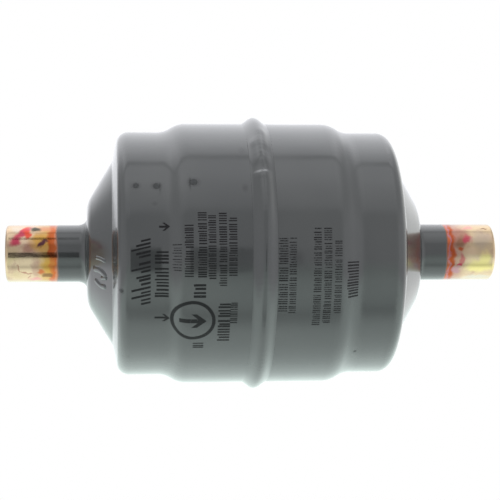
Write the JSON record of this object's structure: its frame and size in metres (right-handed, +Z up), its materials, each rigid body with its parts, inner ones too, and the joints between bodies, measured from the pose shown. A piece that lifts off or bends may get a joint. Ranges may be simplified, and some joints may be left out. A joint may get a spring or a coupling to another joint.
{
  "type": "filter drier",
  "caption": "Liquid-line filter drier: welded barrel-shaped steel shell in grey paint, flow marks, girth weld, and a copper solder socket at each end.",
  "frame": {"origin": "on the drier's axis, in the plane of the girth weld, midway between the fitting ends", "axes": "+X along the axis in the direction of flow, from inlet to outlet; +Z up"},
  "size_m": [0.108, 0.0601, 0.06],
  "materials": {
    "grey_paint": "glossy sprayed enamel with a slight orange peel",
    "copper": "bare copper with heat tint, painted grey next to the shell",
    "spring_steel": "drawn spring wire",
    "plate_steel": "bright pressed sheet",
    "screen_steel": "woven stainless wire",
    "desiccant": "porous moulded granules, matt",
    "felt": "pressed felt",
    "glass_fibre": "bonded glass fibre mat"
  },
  "bodies": {
    "root": {"inlet_shell": "grey_paint", "outlet_shell": "grey_paint", "girth_weld": "grey_paint", "inlet_fitting": "copper", "outlet_fitting": "copper", "inlet_braze_ring": "grey_paint", "outlet_braze_ring": "grey_paint", "inlet_spring": "spring_steel", "spring_plate": "plate_steel", "desiccant_core": "desiccant", "core_gasket": "felt", "filter_pad": "glass_fibre", "wire_screen": "screen_steel", "outlet_support": "plate_steel"}
  },
  "joints": []
}
